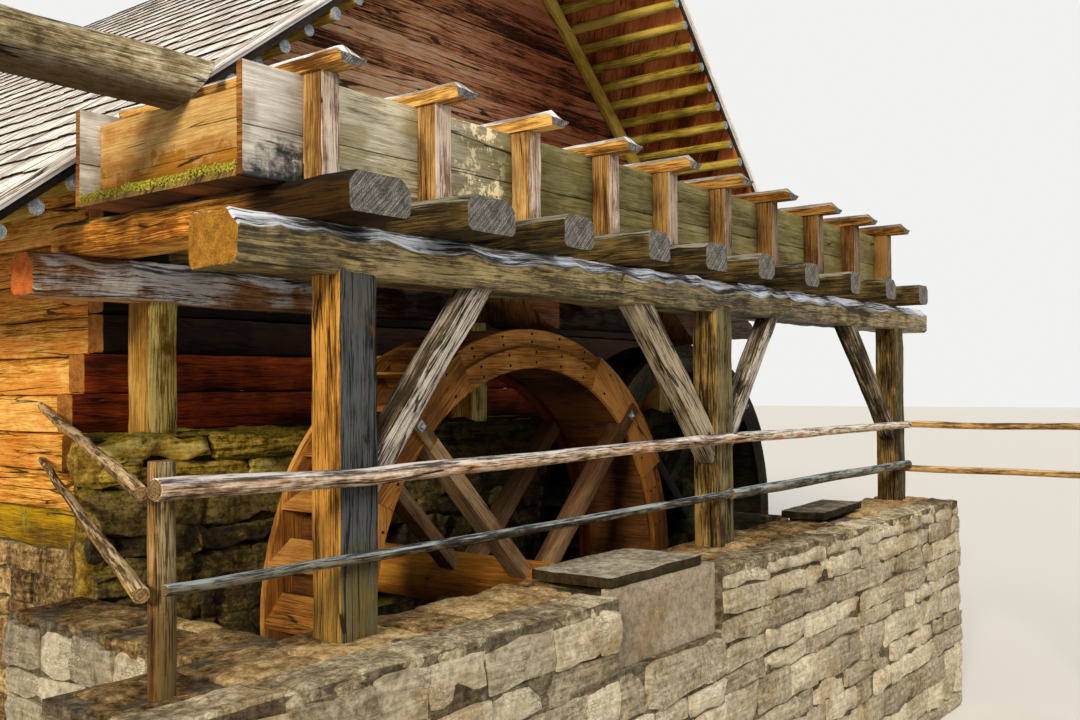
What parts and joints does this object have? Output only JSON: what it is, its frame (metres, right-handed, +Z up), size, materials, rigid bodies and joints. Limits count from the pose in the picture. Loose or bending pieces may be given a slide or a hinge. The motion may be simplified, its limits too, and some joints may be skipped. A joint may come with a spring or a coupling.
{
  "type": "watermill",
  "caption": "Log watermill with bucket wheels in a walled pit, fed from above by a timber flume on a post trestle, beside a gabled log mill house.",
  "frame": {"origin": "underside of the curb wall, at the pit bed's level, under the front left corner of the first outer post", "axes": "+X along the flume with the water, +Y from the forecourt towards the mill house, +Z up"},
  "size_m": [13.38, 14.4071, 9.3],
  "materials": {
    "stone": "rough",
    "weathered_wood": "weathered",
    "log_wood": "hewn",
    "wheel_wood": "wet",
    "shingle_wood": "weathered",
    "iron": "forged"
  },
  "bodies": {
    "mill": {"curb_wall": "stone", "pit_end_wall": "stone", "rubble_wall": "stone", "left_foundation": "stone", "right_foundation": "stone", "back_foundation": "stone", "front_plate": "stone", "slab_rests": "stone", "cover_slabs": "stone", "bearing_blocks": "weathered_wood", "outer_posts": "weathered_wood", "inner_posts": "weathered_wood", "outer_beam": "weathered_wood", "inner_beam": "weathered_wood", "braces": "weathered_wood", "cross_logs": "weathered_wood", "flume_floor": "weathered_wood", "flume_sides": "weathered_wood", "flume_ends": "weathered_wood", "frame_posts": "weathered_wood", "frame_caps": "weathered_wood", "chutes": "weathered_wood", "feed_log": "weathered_wood", "feed_trestle": "weathered_wood", "left_log_wall": "log_wood", "right_log_wall": "log_wood", "front_log_wall": "log_wood", "back_log_wall": "log_wood", "gables": "log_wood", "gable_rafters": "log_wood", "roof_left": "shingle_wood", "roof_right": "shingle_wood", "roof_poles": "log_wood", "railing_posts": "weathered_wood", "front_rails": "weathered_wood", "side_rails": "weathered_wood"},
    "wheel_1": {"wheel_1_shaft": "wheel_wood", "wheel_1_irons": "iron", "wheel_1_arms": "wheel_wood", "wheel_1_shrouds": "wheel_wood", "wheel_1_buckets": "wheel_wood"},
    "wheel_2": {"wheel_2_shaft": "wheel_wood", "wheel_2_irons": "iron", "wheel_2_arms": "wheel_wood", "wheel_2_shrouds": "wheel_wood", "wheel_2_buckets": "wheel_wood"}
  },
  "joints": [
    {"name": "wheel_1_spin", "type": "hinge", "parent": "mill", "child": "wheel_1", "pos_m": [2.42, 1, 2.1], "axis": [0, 1, 0], "continuous": true},
    {"name": "wheel_2_spin", "type": "hinge", "parent": "mill", "child": "wheel_2", "pos_m": [6.2, 1.8, 2.1], "axis": [0, 1, 0], "continuous": true}
  ]
}
